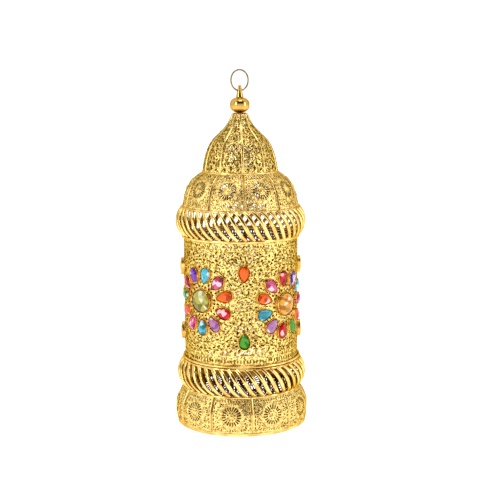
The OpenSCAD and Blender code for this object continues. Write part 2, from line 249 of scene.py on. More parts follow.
class Lace:
    """The holes of one half of a mirrored pattern. room(x, y) is the distance to what bounds that half. Each
    hole takes up spots, which are discs sorted into cells, and leaves a web of metal to the ones before."""
    CELL = 3

    def __init__(self, room, web):
        self.room, self.web, self.holes, self.cells = room, web, [], {}

    def clear(self, spots):
        for x, y, r in spots:
            if self.room(x, y) < r + self.web / 2:
                return False
            i, j = int(x // self.CELL), int(y // self.CELL)
            near = [self.cells.get((i + di, j + dj), ()) for di in (-1, 0, 1) for dj in (-1, 0, 1)]
            if any(math.hypot(x - u, y - v) < r + q + self.web for cell in near for u, v, q in cell):
                return False
        return True

    def keep_out(self, x, y, r):
        """Leaves a plain disc."""
        self.cells.setdefault((int(x // self.CELL), int(y // self.CELL)), []).append((x, y, r))

    def cut(self, spots, hole, force=False):
        """Makes the hole if its spots are free, and says whether it did."""
        if not force and not self.clear(spots):
            return False
        for spot in spots:
            self.keep_out(*spot)
        self.holes.append(hole)
        return True

    def slot(self, x, y, angle, length, width, bend=0.0, force=False):
        half = (length - width) / 2
        last = max(1, math.ceil(2 * half / width))
        middles = [((2 * k / last - 1) * half, 0) for k in range(last + 1)]
        spots = [(*p, width / 2) for p in turned(middles, x, y, angle)]
        return self.cut(spots, slot(x, y, angle, length, width, bend), force)

    def dot(self, x, y, r, n=6):
        self.cut([(x, y, r)], dot(x, y, r, n))

    def mark(self, x, y, angle, length, width):
        """A slot, or a dot where the length is hardly more than the width."""
        if length > width * 1.2:
            self.slot(x, y, angle, length, width)
        else:
            self.dot(x, y, width / 2)

    def ray(self, x, y, angle, r0, r1, w0, w1):
        """A slot that points away from (x, y) and widens from w0 at r0 to w1 at r1. Angle 0 is up."""
        last = max(1, math.ceil((r1 - r0) / w1))
        spots = []
        for k in range(last + 1):
            w = w0 + (w1 - w0) * k / last
            d = r0 + w / 2 + (r1 - r0 - w0 / 2 - w1 / 2) * k / last
            spots.append((*turned([(0, d)], x, y, -angle)[0], w / 2))
        shoulder = r1 - w1 / 2
        points = [(-w0 / 2, r0), (w0 / 2, r0), (w1 / 2, shoulder), (0, r1), (-w1 / 2, shoulder)]
        self.cut(spots, turned(points, x, y, -angle))

    def circle(self, x, y, r, count, length, width):
        """Marks laid round a circle; those outside the half are left out."""
        for a in turns(count, 0.5):
            self.mark(x + r * math.sin(a), y + r * math.cos(a), -math.degrees(a), length, width)

    def keep_ring(self, x, y, r, width):
        """Leaves a plain circle of metal."""
        for a in turns(int(2 * math.pi * r / 0.8)):
            self.keep_out(x + r * math.sin(a), y + r * math.cos(a), width / 2 - self.web / 2)

    def fan(self, x, y, count, first, step, *sizes):
        """Rays of the same sizes round a point, step degrees apart; those outside the half are left out."""
        for k in range(count):
            self.ray(x, y, first + step * k, *sizes)

    def rosette(self, x, y, count, *sizes):
        self.fan(x, y, count, 180 / count, 360 / count, *sizes)

    def scrolls(self, centres, reach, pitch, length, width, box):
        """Fills what is left with slots that curl round the nearest of the centres, then with small dots."""
        for n, (cx, cy) in enumerate(centres):
            self.dot(cx, cy, width * 0.55)
            r, k = pitch, 0
            while r < reach:
                count = max(3, round(2 * math.pi * r / (length + self.web + 0.5)))
                for i in range(count):
                    t = 2 * math.pi * (i + 0.37 * k + 0.21 * n) / count
                    x, y = cx + r * math.cos(t), cy + r * math.sin(t)
                    gaps = [math.hypot(x - u, y - v) for u, v in centres]
                    if gaps.index(min(gaps)) == n:
                        long = min(length, 1.5 * r)
                        self.slot(x, y, math.degrees(t) + 90, long, width, bend=-long * long / (8 * r))
                r += pitch
                k += 1
        x0, y0, x1, y1 = box
        for _ in range(int((x1 - x0) * (y1 - y0) * 2.2)):
            x, y = random.uniform(x0, x1), random.uniform(y0, y1)
            if not self.slot(x, y, random.uniform(0, 180), 1.7, width * 0.85):
                self.dot(x, y, width * 0.42)

    def mirrored(self):
        """The holes of both halves; a hole whose middle is on the mirror line is there once."""
        both = list(self.holes)
        for hole in self.holes:
            if abs(middle(hole)[0]) > 0.05:
                both.append([(-x, y) for x, y in reversed(hole)])
        return both


def middle(hole):
    return sum(x for x, _ in hole) / len(hole), sum(y for _, y in hole) / len(hole)


def flat_mesh(outline, holes, seeds):
    """Points and counter-clockwise triangles of the outline without its holes. Seeds are inner points."""
    points, loops = list(outline), [list(range(len(outline)))]
    for hole in holes:
        loops.append(list(range(len(points), len(points) + len(hole))))
        points += hole
    points = [Vector(p) for p in points + seeds]
    flat, _, tris, _, _, owners = delaunay_2d_cdt(points, [], loops, 1, 1e-4, True)
    tris = np.array([t for t, o in zip(tris, owners) if list(o) == [0]])
    flat = np.array([tuple(p) for p in flat])
    used, tris = np.unique(tris, return_inverse=True)
    flat, tris = flat[used], tris.reshape(-1, 3)
    p, q, r = flat[tris[:, 0]], flat[tris[:, 1]], flat[tris[:, 2]]
    clockwise = (q[:, 0] - p[:, 0]) * (r[:, 1] - p[:, 1]) < (q[:, 1] - p[:, 1]) * (r[:, 0] - p[:, 0])
    tris[clockwise] = tris[clockwise][:, ::-1]
    return flat, tris


def sheet(build, outline, holes, seeds, place):
    """Adds a pierced sheet: flat outline and holes, with place(points, depth) to put them in space. Its outer
    face has the first material, its inner face and the walls of its holes the second, painted dark as the
    shade inside."""
    flat, tris = flat_mesh(outline, holes, seeds)
    n = len(flat)
    edges = np.concatenate([tris[:, [0, 1]], tris[:, [1, 2]], tris[:, [2, 0]]])
    code, back = edges[:, 0] * n + edges[:, 1], edges[:, 1] * n + edges[:, 0]
    rim = edges[~np.isin(code, back)]
    verts = np.concatenate([place(flat, 0.0), place(flat, SHEET_T)])
    walls = np.c_[rim[:, 1], rim[:, 0], rim[:, 0] + n, rim[:, 1] + n]
    return build.add(verts.tolist(), tris.tolist(), (tris[:, ::-1] + n).tolist() + walls.tolist())


def relief(x, y):
    """Height of the chased, uneven face of the pierced sheet at a flat point."""
    coarse = np.sin(2.3 * x + 0.7 * y) * np.cos(1.9 * y - 0.5 * x)
    return 0.13 * (coarse + 0.6 * np.sin(3.7 * x - 3.1 * y + 1))


def gore_place(line, azimuth, bulge, ridge=None):
    """Puts flat points (across, along) on a gore that swells between its edges and has its middle at azimuth.
    ridge is the (height up the gore, radius) of a raised circle round its rosette."""
    def place(p, depth):
        r, z, nr, nz = line.at(p[:, 1])
        a = p[:, 0] / r
        chased = relief(np.abs(p[:, 0]), p[:, 1])
        if ridge:
            ridge_y, ridge_r = ridge
            d = np.hypot(p[:, 0], p[:, 1] - ridge_y)
            chased = np.where(d < ridge_r, 0.1 * d / ridge_r, chased)
            chased += 0.5 * np.exp(-((d - ridge_r) / 0.7) ** 2)
        out = bulge * (1 - (a / HALF_GORE) ** 2) - depth + chased
        angle = a + math.radians(azimuth)
        r, z = r + nr * out, z + nz * out
        return np.c_[r * np.sin(angle), -r * np.cos(angle), z]
    return place


def gore_outline(line):
    """The flat outline, with half of the gap to the next gore taken off each side."""
    s = np.linspace(0, line.length, int(line.length / 1.5) + 1)
    half = np.array([line.half_width(v) for v in s]) - 0.175
    foot = [(x, 0.0) for x in np.linspace(-half[0], half[0], 14)[1:-1]]
    top = [(x, line.length) for x in np.linspace(half[-1], -half[-1], 10)[1:-1]]
    right, left = list(zip(half, s)), list(zip(-half[::-1], s[::-1]))
    return left[-1:] + foot + right + top + left[:-1]


def gore_seeds(line):
    """Points inside a gore that let its mesh follow the relief."""
    step, out = 0.9, []
    for v in np.arange(step * 0.6, line.length - 0.5, step):
        half = line.half_width(v) - 0.8
        out += [(x, v) for x in np.arange(-half, half, step)]
    return out


ON_LINE = 0.02              # a point nearer than this to a mirror line lies on it
FREE = 9                    # room that never limits a hole


def gore_room(line, side=1.3, foot=0.9):
    """How far a point of the right half is from the gore's plain edges and its mirror line."""
    def room(x, y):
        if x < -0.01 or y < 0 or y > line.length:
            return -1
        edge = line.half_width(y) - x - side
        return min(edge, y - foot, line.length - y - 0.9, FREE if x < ON_LINE else x)
    return room


def edge_row(lace, line, inset, y0, y1, pitch, length, width):
    """A row of marks that follows the gore's edge from y0 to y1."""
    y = y0
    while y < y1:
        widening = 0.001 + line.half_width(y + pitch) - line.half_width(y - pitch)
        lean = math.degrees(math.atan2(2 * pitch, widening))
        lace.mark(line.half_width(y) - inset, y, lean, length, width)
        y += pitch


def level_row(lace, reach, y, pitch, length, width):
    """A level row of upright marks, from the mirror line outwards."""
    x = pitch / 2
    while x < reach:
        lace.mark(x, y, 90, length, width)
        x += pitch


def spread_centres(count, gap, box, room):
    """Scroll middles, no closer to each other than gap."""
    out, tries = [], 0
    x0, y0, x1, y1 = box
    while len(out) < count and tries < 4000:
        tries += 1
        p = (random.uniform(x0, x1), random.uniform(y0, y1))
        if room(*p) > 1.2 and all(math.hypot(p[0] - q[0], p[1] - q[1]) > gap for q in out):
            out.append(p)
    return out


# ---- Materials ----

def nodes_of(name):
    mat = bpy.data.materials.new(name)
    mat.use_nodes = True
    tree = mat.node_tree
    return mat, tree, tree.nodes["Principled BSDF"]


def set_inputs(node, **settings):
    """Sets a node's inputs, whose names have _ for a space here."""
    for key, value in settings.items():
        node.inputs[key.replace("_", " ")].default_value = value
    return node


def shader(tree, kind, **settings):
    return set_inputs(tree.nodes.new(kind), **settings)


def chain(tree, *parts):
    """Links nodes in a row, given as node, output, input, node, output, input, node."""
    for k in range(0, len(parts) - 3, 3):
        source, output, entry, target = parts[k:k + 4]
        tree.links.new(source.outputs[output], target.inputs[entry])


def ramp(tree, stops):
    """Adds a colour ramp of (position, colour) stops."""
    node = tree.nodes.new("ShaderNodeValToRGB")
    elements = node.color_ramp.elements
    for element, (position, colour) in zip(elements, stops):
        element.position, element.color = position, (*colour, 1)
    for position, colour in stops[2:]:
        elements.new(position).color = (*colour, 1)
    return node


def metal(name, light, dark, rough, mottle_scale, bump_scale, bump_mm, spread=0.08):
    """Gold plating: a random mottle of a light and a dark tone, the dark one painted dark reflection, with
    uneven gloss and a chased or drawn surface.
    """
    mat, tree, bsdf = nodes_of(name)
    # The brown edge tint darkens reflections at grazing angles: painted shade along the silhouettes.
    set_inputs(bsdf, Metallic=1.0, Specular_Tint=(0.62, 0.42, 0.16, 1))
    coords = shader(tree, "ShaderNodeTexCoord")
    gloss_and_shade_mottle = shader(tree, "ShaderNodeTexNoise", Scale=mottle_scale, Detail=4)
    # The dark tone of the mottle is painted dark reflection.
    tones = ramp(tree, [(0.40, dark), (0.58, light)])
    gloss = shader(tree, "ShaderNodeMapRange", To_Min=rough - spread, To_Max=rough + spread)
    chain(tree, coords, "Object", "Vector", gloss_and_shade_mottle, "Fac", "Fac", tones, "Color", "Base Color", bsdf)
    chain(tree, gloss_and_shade_mottle, "Fac", "Value", gloss, "Result", "Roughness", bsdf)
    if bump_mm:
        grain = shader(tree, "ShaderNodeTexNoise", Scale=bump_scale, Detail=3)
        bump = shader(tree, "ShaderNodeBump", Strength=1.0, Distance=bump_mm * MM)
        chain(tree, coords, "Object", "Vector", grain, "Fac", "Height", bump, "Normal", "Normal", bsdf)
    return mat


def gem(name, colour):
    """Acrylic stone with a foiled back: its full colour, mottled with darker cells of painted shade and
    lighter cells of painted highlight for the foil's reflections, under a glossy coat.
    """
    mat, tree, bsdf = nodes_of(name)
    # The darker tone is painted shade and the lighter tone painted highlight on the facets, standing in for
    # the foil's reflections.
    painted_shade_tone, painted_highlight_tone = tuple(c ** 1.3 * 0.5 for c in colour), tuple(0.5 + 0.5 * c for c in colour)
    coords = shader(tree, "ShaderNodeTexCoord")
    cells = shader(tree, "ShaderNodeTexVoronoi")
    cells.feature = "SMOOTH_F1"
    set_inputs(cells, Scale=260, Smoothness=0.25)
    grey = shader(tree, "ShaderNodeSeparateColor")
    colour_with_painted_light = ramp(tree, [(0.2, painted_shade_tone), (0.45, colour), (0.87, colour), (0.92, painted_highlight_tone)])
    chain(tree, coords, "Object", "Vector", cells, "Color", "Color", grey, 0, "Fac", colour_with_painted_light,
          "Color", "Base Color", bsdf)
    set_inputs(bsdf, Roughness=0.25, Specular_IOR_Level=0.1, Coat_Weight=0.35, Coat_Roughness=0.04)
    return mat


# The dark tones below are painted dark reflection, mottled into each metal's colour.
SHEET_GOLD = metal("pierced_gold", (0.97, 0.72, 0.21), (0.26, 0.145, 0.03), 0.18, 460, 560, 1.0)
GORE_GOLD = metal("gore_gold", (0.98, 0.75, 0.26), (0.52, 0.33, 0.09), 0.38, 420, 560, 0.7)
# Inner faces and hole walls of the pierced sheets: gold painted dark brown as the shade inside the lantern.
SHADED_INNER_GOLD = metal("pierced_gold_inside_painted_shade", (0.42, 0.21, 0.03), (0.20, 0.09, 0.01), 0.5, 120, 700, 0.06)
PLAIN_GOLD = metal("plain_gold", (0.90, 0.67, 0.24), (0.66, 0.44, 0.13), 0.22, 90, 500, 0.03)
WIRE_GOLD = metal("wire_gold", (0.93, 0.69, 0.25), (0.66, 0.42, 0.11), 0.13, 120, 400, 0.02)
TURNED_GOLD = metal("turned_gold", (0.66, 0.43, 0.11), (0.52, 0.31, 0.07), 0.10, 60, 0, 0, spread=0.03)
RING_METAL = metal("ring_wire", (0.26, 0.18, 0.07), (0.10, 0.065, 0.02), 0.35, 300, 900, 0.01)
SETTING_GOLD = metal("setting_gold", (0.85, 0.54, 0.13), (0.60, 0.32, 0.06), 0.24, 200, 600, 0.03)
# Inner sides of the bezels: painted shade in the gap between stone and bezel.
SHADED_GROOVE = metal("setting_groove_painted_shade", (0.10, 0.045, 0.01), (0.05, 0.02, 0.005), 0.5, 200, 0, 0)
HARDWARE = metal("hardware", (0.80, 0.60, 0.26), (0.60, 0.42, 0.16), 0.34, 150, 600, 0.02)

GEM_COLOURS = {
    "purple": (0.18, 0.04, 0.42), "turquoise": (0.07, 0.42, 0.53), "pink": (0.60, 0.09, 0.22),
    "orange": (0.82, 0.115, 0.004), "red": (0.56, 0.008, 0.015), "lilac": (0.40, 0.16, 0.36),
    "magenta": (0.62, 0.015, 0.20), "coral": (0.76, 0.08, 0.02), "green": (0.05, 0.30, 0.008),
}
CENTRE_COLOURS = {"olive": (0.38, 0.34, 0.04), "amber": (0.74, 0.33, 0.03)}


# ---- Domes ----

# Of a rosette: height up the gore, radius and height of its boss, radius of its raised circle
LOWER_ROSETTE = {"y": 17.6, "boss_r": 2.1, "boss_h": 1.1, "ridge_r": 9.4}
BASE_ROSETTE = {"y": 15.4, "boss_r": 1.7, "boss_h": 1.1, "ridge_r": 10.1}


def lower_dome_lace():
    line, y = LOWER_DOME, LOWER_ROSETTE["y"]
    lace = Lace(gore_room(line), 0.6)
    lace.keep_out(0, y, 2.3)
    lace.rosette(0, y, 20, 3.9, 8.2, 0.6, 1.5)
    lace.keep_ring(0, y, LOWER_ROSETTE["ridge_r"], 1.7)
    lace.circle(0, y, 10.7, 26, 0, 1.24)
    level_row(lace, 15.4, 2.3, 2.5, 2.2, 1.1)
    edge_row(lace, line, 2.3, 4.6, 36, 3.5, 2.8, 0.9)
    edge_row(lace, line, 4.5, 4.4, 36, 2.3, 0.9, 0.95)
    lace.fan(0, -2.2, 7, -54, 18, 5.8, 8.6, 0.7, 1.3)
    lace.fan(0, 39.6, 7, 132, 16, 6.6, 10.4, 0.7, 1.2)
    centres = [(11.4, 8.6), (9.4, 27.4), (3.4, 31.5), (13.2, 16.8)]
    lace.scrolls(centres, 9, 2.1, 2.6, 1.05, (0, 1, 16, 35.5))
    return lace.mirrored()


def upper_dome_lace():
    line = UPPER_DOME
    lace = Lace(gore_room(line, side=1.2, foot=1.5), 0.6)
    edge_row(lace, line, 1.95, 3.4, 60.5, 4.6, 4.0, 0.75)
    # A low arch of larger openings, shaped like a tulip
    lace.slot(0, 5.6, 90, 5.0, 2.1, force=True)
    lace.slot(3.0, 4.9, 62, 4.4, 1.8)
    lace.slot(6.0, 4.0, 35, 3.4, 1.5)
    lace.slot(2.4, 10.0, 122, 4.0, 1.8)
    lace.slot(5.6, 8.6, 60, 3.8, 1.6)
    lace.dot(0, 12.8, 1.2, 8)
    for k in range(9):
        a = math.radians(22 * k - 77)
        lace.slot(8.0 * math.sin(a), 6.6 + 11.0 * math.cos(a), -math.degrees(a), 2.7, 0.95)
    # A small rosette, with three openings over it that get smaller
    lace.keep_out(0, 23, 1.0)
    lace.rosette(0, 23, 10, 1.9, 4.9, 0.7, 1.4)
    lace.slot(0, 34, 90, 4.2, 1.6, force=True)
    lace.slot(0, 42.4, 90, 3.6, 1.3, force=True)
    lace.slot(0, 48.8, 90, 3.0, 1.1, force=True)
    centres = [(5.2, 17.2), (5.4, 27.5), (3.0, 31.0), (3.6, 37.5), (2.4, 43.5), (2.2, 49.0), (1.5, 55.0)]
    lace.scrolls(centres, 7, 2.1, 2.6, 1.05, (0, 1.4, 11, 61))
    return lace.mirrored()


def base_lace():
    line, y = BASE_LINE, BASE_ROSETTE["y"]
    lace = Lace(gore_room(line, foot=1.0), 0.62)
    lace.keep_out(0, y, 2.0)
    for a in turns(8, 0.5):
        lace.slot(3.4 * math.sin(a), y + 3.4 * math.cos(a), 40 - math.degrees(a), 1.9, 0.9)
    lace.rosette(0, y, 20, 4.9, 9.0, 0.7, 1.5)
    lace.keep_ring(0, y, BASE_ROSETTE["ridge_r"], 1.5)
    lace.circle(0, y, 11.5, 30, 0, 1.1)
    level_row(lace, 18, 2.4, 2.6, 2.2, 1.1)
    level_row(lace, 17, line.length - 2.4, 2.5, 2.0, 1.0)
    edge_row(lace, line, 2.4, 4.8, line.length - 4, 3.5, 2.8, 0.9)
    lace.fan(17.4, 1.0, 5, -86, 20, 4.6, 7.6, 0.7, 1.2)
    lace.fan(16.4, line.length, 5, -94, -20, 4.6, 7.6, 0.7, 1.2)
    centres = [(13.2, 7.4), (12.6, 23.0), (5.0, 3.6), (4.6, 27.2), (14.6, 15)]
    lace.scrolls(centres, 9, 2.0, 2.5, 0.9, (0, 1, 18.5, line.length - 1))
    return lace.mirrored()


def boss(build, line, azimuth, rosette, bulge):
    """A low round boss in the middle of a rosette."""
    mid_r, z, nr, nz = (float(v) for v in line.at(rosette["y"]))
    out, across = Vector(polar(nr, azimuth, nz)), Vector(polar(1, azimuth + 90, 0))
    up = out.cross(across)
    foot = Vector(polar(mid_r, azimuth, z)) + out * (bulge - 0.28)
    rows = [(1.0, 0.0), (1.0, 0.35), (0.92, 0.6), (0.7, 0.85), (0.36, 0.97)]
    n, verts = 16, []
    for share, high in rows:
        for t in turns(n):
            side = (across * math.cos(t) + up * math.sin(t)) * rosette["boss_r"] * share
            verts.append(foot + side + out * high * rosette["boss_h"])
    verts.append(foot + out * rosette["boss_h"])
    last = (len(rows) - 1) * n
    build.add(verts, grid_faces(len(rows), n) + [(last + j, last + (j + 1) % n, last + n) for j in range(n)])


def rosette_gores(name, line, holes, turn, rosette, bulge, body="cover"):
    """Makes the pieces of a ring of gores, each with its rosette."""
    outline, seeds = gore_outline(line), gore_seeds(line)
    for i in range(GORES):
        azimuth = turn + (i + 0.5) * GORE_ANGLE
        place = gore_place(line, azimuth, bulge, (rosette["y"], rosette["ridge_r"]))
        build = sheet(Build(), outline, holes, seeds, place)
        boss(build, line, azimuth, rosette, bulge)
        piece(f"{name}_gore_{i + 1:02d}", "pierced", build, [GORE_GOLD, SHADED_INNER_GOLD], body)


def strip(build, line, azimuth, section):
    """Sweeps a section of (out, across) points up the outline at one azimuth."""
    r, z, nr, nz = line.at(np.linspace(0, line.length, int(line.length / 1.2)))
    path = [polar(a, azimuth, b) for a, b in zip(r, z)]
    firsts = [polar(a, azimuth, b) for a, b in zip(nr, nz)]
    tube(build, path, firsts, section)


def both_sides(half):
    """A section from one half of it, whose last point is on the middle line."""
    return [(out, -across) for out, across in half[:-1]] + half[::-1]


DOUBLE_BEAD = both_sides([(-0.45, -1.1), (0.2, -1.1), (0.5, -0.95), (0.6, -0.62), (0.42, -0.28), (0.05, 0)])
ROUND_RIB = both_sides([(-0.5, -1.1), (0.15, -1.1), (0.45, -0.85), (0.6, -0.4), (0.62, 0)])

LOWER_BULGE, UPPER_BULGE, BASE_BULGE = 0.55, 0.45, 0.5
rosette_gores("lower_dome", LOWER_DOME, lower_dome_lace(), 0, LOWER_ROSETTE, LOWER_BULGE)
holes = upper_dome_lace()
build = Build()
for i in range(GORES):
    sheet(build, gore_outline(UPPER_DOME), holes, gore_seeds(UPPER_DOME),
          gore_place(UPPER_DOME, (i + 0.5) * GORE_ANGLE, UPPER_BULGE))
piece("upper_dome_gores", "pierced", build, [SHEET_GOLD, SHADED_INNER_GOLD])
rosette_gores("base", BASE_LINE, base_lace(), BASE_TURN, BASE_ROSETTE, BASE_BULGE, "base")

for node, line, turn, body, section in (
        ("upper_dome_ribs", UPPER_DOME, 0, "cover", ROUND_RIB),
        ("lower_dome_seams", LOWER_DOME, 0, "cover", DOUBLE_BEAD),
        ("base_seams", BASE_LINE, BASE_TURN, "base", DOUBLE_BEAD)):
    build = Build()
    for i in range(GORES):
        strip(build, line, turn + i * GORE_ANGLE, section)
    piece(node, "beaded", build, [PLAIN_GOLD], body)

HEM_SECTION = [(-0.8, -0.4), (0.6, -0.4), (0.95, -0.1), (1.0, 0.5), (0.9, 1.1), (0.55, 1.35), (-0.1, 1.4),
               (-0.8, 1.4)]
hem = [(UPPER_DOME_R + out, DOME_STEP_Z + up) for out, up in HEM_SECTION]
piece("upper_dome_hem", "rolled", lathe(hem), [PLAIN_GOLD])


# ---- Body ----

EIGHTH = BODY_R * math.pi / 4          # round the wall from the drops' line to the flowers' line
SEAM_AZIMUTH = 171          # the wall's soldered butt joint, in a plain gap between the settings at the back
FLOWER_Z, FLOWER_CLEAR_R = 117, 32.2    # the flowers' mean height, and how far their own openings reach
BETWEEN_DROPS_Z = 116.5
CENTRE_COVER_R, PETAL_COVER_R, DROP_COVER_R = 9.2, 4.6, 4.8     # no opening's middle is this near a setting's


def body_room(x, y):
    """Room in the eighth of the wall between the drops' line (x = 0) and the flowers' line."""
    if x < -0.01 or x > EIGHTH + 0.01:
        return -1
    near = min(x if x > ON_LINE else FREE, EIGHTH - x if x < EIGHTH - ON_LINE else FREE)
    return min(near, y - BODY_FOOT_Z - 2.2, BODY_TOP_Z - y - 0.9)


def oval_rays(lace, y, count, rx, ry, length, width):
    """Slots that point outwards round an oval on the drops' line."""
    for a in turns(count, 0.5):
        u, v = rx * math.sin(a), ry * math.cos(a)
        lace.slot(u, y + v, math.degrees(math.atan2(v / ry ** 2, u / rx ** 2)), length, width)


def body_lace():
    """Holes of the wall in flat coordinates (distance round from the front, height)."""
    lace = Lace(body_room, 0.66)
    level_row(lace, EIGHTH, BODY_FOOT_Z + 4.8, 2.9, 3.4, 1.3)
    level_row(lace, EIGHTH, BODY_FOOT_Z + 8.8, 2.3, 1.0, 1.1)
    level_row(lace, EIGHTH, BODY_TOP_Z - 2.6, 2.6, 2.3, 1.15)
    level_row(lace, EIGHTH, BODY_TOP_Z - 5.4, 2.3, 1.0, 1.1)
    # Round the drops
    lace.keep_out(0, LOWER_DROP_Z, 6)
    lace.keep_out(0, UPPER_DROP_Z, 6)
    lace.slot(6.9, LOWER_DROP_Z + 7.4, 125, 4.4, 2.4)
    lace.slot(3.5, LOWER_DROP_Z + 19, 60, 3.8, 1.8)
    oval_rays(lace, LOWER_DROP_Z, 14, 9.0, 11.2, 3.6, 1.8)
    lace.fan(0, LOWER_DROP_Z, 9, 108, 18, 14.4, 18.2, 0.9, 1.8)
    oval_rays(lace, UPPER_DROP_Z, 18, 8.8, 10.9, 2.5, 1.25)
    lace.fan(0, UPPER_DROP_Z, 11, -80, 16, 13.2, 16.4, 0.8, 1.5)
    # Rosette between them
    lace.keep_out(0, BETWEEN_DROPS_Z, 1.2)
    lace.rosette(0, BETWEEN_DROPS_Z, 12, 2.2, 5.8, 0.7, 1.6)
    lace.keep_ring(0, BETWEEN_DROPS_Z, 6.8, 0.9)
    lace.circle(0, BETWEEN_DROPS_Z, 8.3, 20, 1.9, 1.0)
    # Arches over and under the flowers
    for r, count, length, width in ((34.4, 48, 3.4, 1.1), (37.2, 92, 1.0, 1.05), (40.2, 52, 3.6, 1.35)):
        lace.circle(EIGHTH, FLOWER_Z, r, count, length, width)
    # A cluster of larger openings over the side of each arch
    for opening in ((25.5, 165.4, 20, 4.4, 2.3), (28.8, 161.0, 70, 4.0, 2.1), (22.4, 161.4, 110, 3.6, 1.9),
                    (30.6, 165.8, 150, 3.4, 1.6), (26.0, 157.0, 35, 3.4, 1.8), (20.8, 166.2, 60, 3.4, 1.6)):
        lace.slot(*opening)
    box = (0.5, BODY_FOOT_Z + 2, EIGHTH - 0.5, BODY_TOP_Z - 1)
    centres = spread_centres(60, 8.6, box, body_room)
    lace.scrolls(centres, 8, 2.3, 3.0, 1.2, box)
    quarter = lace.mirrored()
    out = []
    for q in range(4):
        out += [[(x + 2 * EIGHTH * q, y) for x, y in hole] for hole in quarter]
    return out


def petal_place(f, angle):
    """Azimuth, height and spin of the petal of flower f at an angle from the top, clockwise."""
    azimuth, z = FLOWERS[f]
    across, up = PETAL_RING_R * math.sin(math.radians(angle)), PETAL_RING_R * math.cos(math.radians(angle))
    return azimuth + math.degrees(across / BODY_R), z + up, angle + 180


def around(azimuth):
    """Distance round the wall from the front."""
    return math.radians(azimuth) * BODY_R


def flower_holes():
    """Openings that belong to each flower: beads round its middle stone and between its petals."""
    out = []
    for f, (azimuth, z) in enumerate(FLOWERS):
        x = around(azimuth)
        for a in turns(22):
            out.append(dot(x + 13.2 * math.sin(a), z + 13.2 * math.cos(a), 1.05, 7))
        angles = PETAL_ANGLES[f]
        for angle, following in zip(angles, angles[1:] + angles[:1]):
            between = (angle + following + (360 if following < angle else 0)) / 2
            a = math.radians(between)
            for r, length, width in ((16.6, 3.0, 1.7), (20.2, 2.4, 1.3), (23.2, 2.0, 1.1), (30.6, 3.0, 1.4)):
                out.append(slot(x + r * math.sin(a), z + r * math.cos(a), 90 - between, length, width))
    return out


def covers():
    """The discs (distance round, height, radius) that the settings cover."""
    out = [(around(a), z, CENTRE_COVER_R) for a, z in FLOWERS]
    for f, angles in enumerate(PETAL_ANGLES):
        for angle in angles:
            a, z, _ = petal_place(f, angle)
            out.append((around(a), z, PETAL_COVER_R))
    return out + [(around(a), z, DROP_COVER_R) for a in DROP_AZIMUTHS for z in (UPPER_DROP_Z, LOWER_DROP_Z)]


def body_holes(lo, hi):
    """The wall's holes, moved to between its two ends lo and hi; those that an end would cut are left out."""
    whole = 2 * math.pi * BODY_R

    def inside(hole, discs):
        x, y = middle(hole)
        return any(math.hypot((x - u + whole / 2) % whole - whole / 2, y - v) < r for u, v, r in discs)

    flowers = [(around(a), z, FLOWER_CLEAR_R) for a, z in FLOWERS]
    covered = covers()
    holes = [hole for hole in body_lace() if not inside(hole, flowers)] + flower_holes()
    out = []
    for hole in holes:
        x, _ = middle(hole)
        moved = [(u - x + (x - lo) % whole + lo, v) for u, v in hole]
        xs = [u for u, _ in moved]
        if not inside(hole, covered) and min(xs) > lo + 0.8 and max(xs) < hi - 0.8:
            out.append(moved)
    return out


def body_sheet():
    """The wall, from one side of its seam right round to the other."""
    lo, hi = around(SEAM_AZIMUTH - 360) + 0.02, around(SEAM_AZIMUTH) - 0.02
    rows, cols = np.linspace(BODY_FOOT_Z, BODY_TOP_Z, 40), np.linspace(lo, hi, 130)
    outline = ([(x, BODY_FOOT_Z) for x in cols[:-1]] + [(hi, y) for y in rows[:-1]]
               + [(x, BODY_TOP_Z) for x in cols[:0:-1]] + [(lo, y) for y in rows[:0:-1]])
    heights = np.arange(BODY_FOOT_Z + 1, BODY_TOP_Z - 0.5, 1.1)
    seeds = [(x, y) for x in np.arange(lo + 1, hi - 0.5, 1.1) for y in heights]

    def place(p, depth):
        a, r = p[:, 0] / BODY_R, BODY_R - depth + relief(p[:, 0], p[:, 1]) - 0.1
        return np.c_[r * np.sin(a), -r * np.cos(a), p[:, 1]]
    return sheet(Build(), outline, body_holes(lo, hi), seeds, place)


piece("body_sheet", "pierced", body_sheet(), [SHEET_GOLD, SHADED_INNER_GOLD])


# ---- Wire rings and cage bands ----

def rods(bottom_z, top_z):
    """Flattened rods that lean over, bulge outwards and sweep into the rings at both ends."""
    sweep, foot_rise, steps = 1.6, 1.5, 16
    half_turn = math.radians(ROD_TWIST / 2)
    half_wide, half_tall = BAND_R * math.sin(half_turn), (top_z - bottom_z) / 2
    half_chord = math.hypot(half_wide, half_tall)
    rise = BULGE_R - BAND_R * math.cos(half_turn)
    arc_r = (half_chord ** 2 + rise ** 2) / (2 * rise)
    half_arc = math.asin(half_chord / arc_r)
    lean = math.atan2(half_wide, half_tall)
    build, mid_z = Build(), (bottom_z + top_z) / 2
    for turn in turns(ROD_COUNT):
        path, firsts = [], []
        for i in range(steps + 1):
            t = 2 * i / steps - 1
            phi = t * half_arc
            out, along = BULGE_R - arc_r + arc_r * math.cos(phi), arc_r * math.sin(phi)
            across = -along * math.sin(lean) - sweep * t ** 3
            x = out * math.cos(turn) - across * math.sin(turn)
            y = out * math.sin(turn) + across * math.cos(turn)
            path.append((x, y, mid_z + along * math.cos(lean) + foot_rise * (1 - t) / 2))
            firsts.append((math.cos(turn) * math.cos(phi), math.sin(turn) * math.cos(phi), math.sin(phi)))
        tube(build, path, firsts, oval(1.3, 1.85, 14, 0.85))
    return build


def lapped_ring(r, z, wire_r, azimuth):
    """A wire ring whose two ends pass each other a little at the solder joint."""
    lap, segments, path, firsts = 3, 170, [], []
    for i in range(segments + 1):
        a = azimuth - lap + (360 + 2 * lap) * i / segments
        end = max(0, 1 - i / 7) - max(0, 1 - (segments - i) / 7)
        path.append(polar(r + 0.35 * end, a, z + 0.55 * end))
        firsts.append(polar(1, a, 0))
    return tube(Build(), path, firsts, oval(wire_r, wire_r))


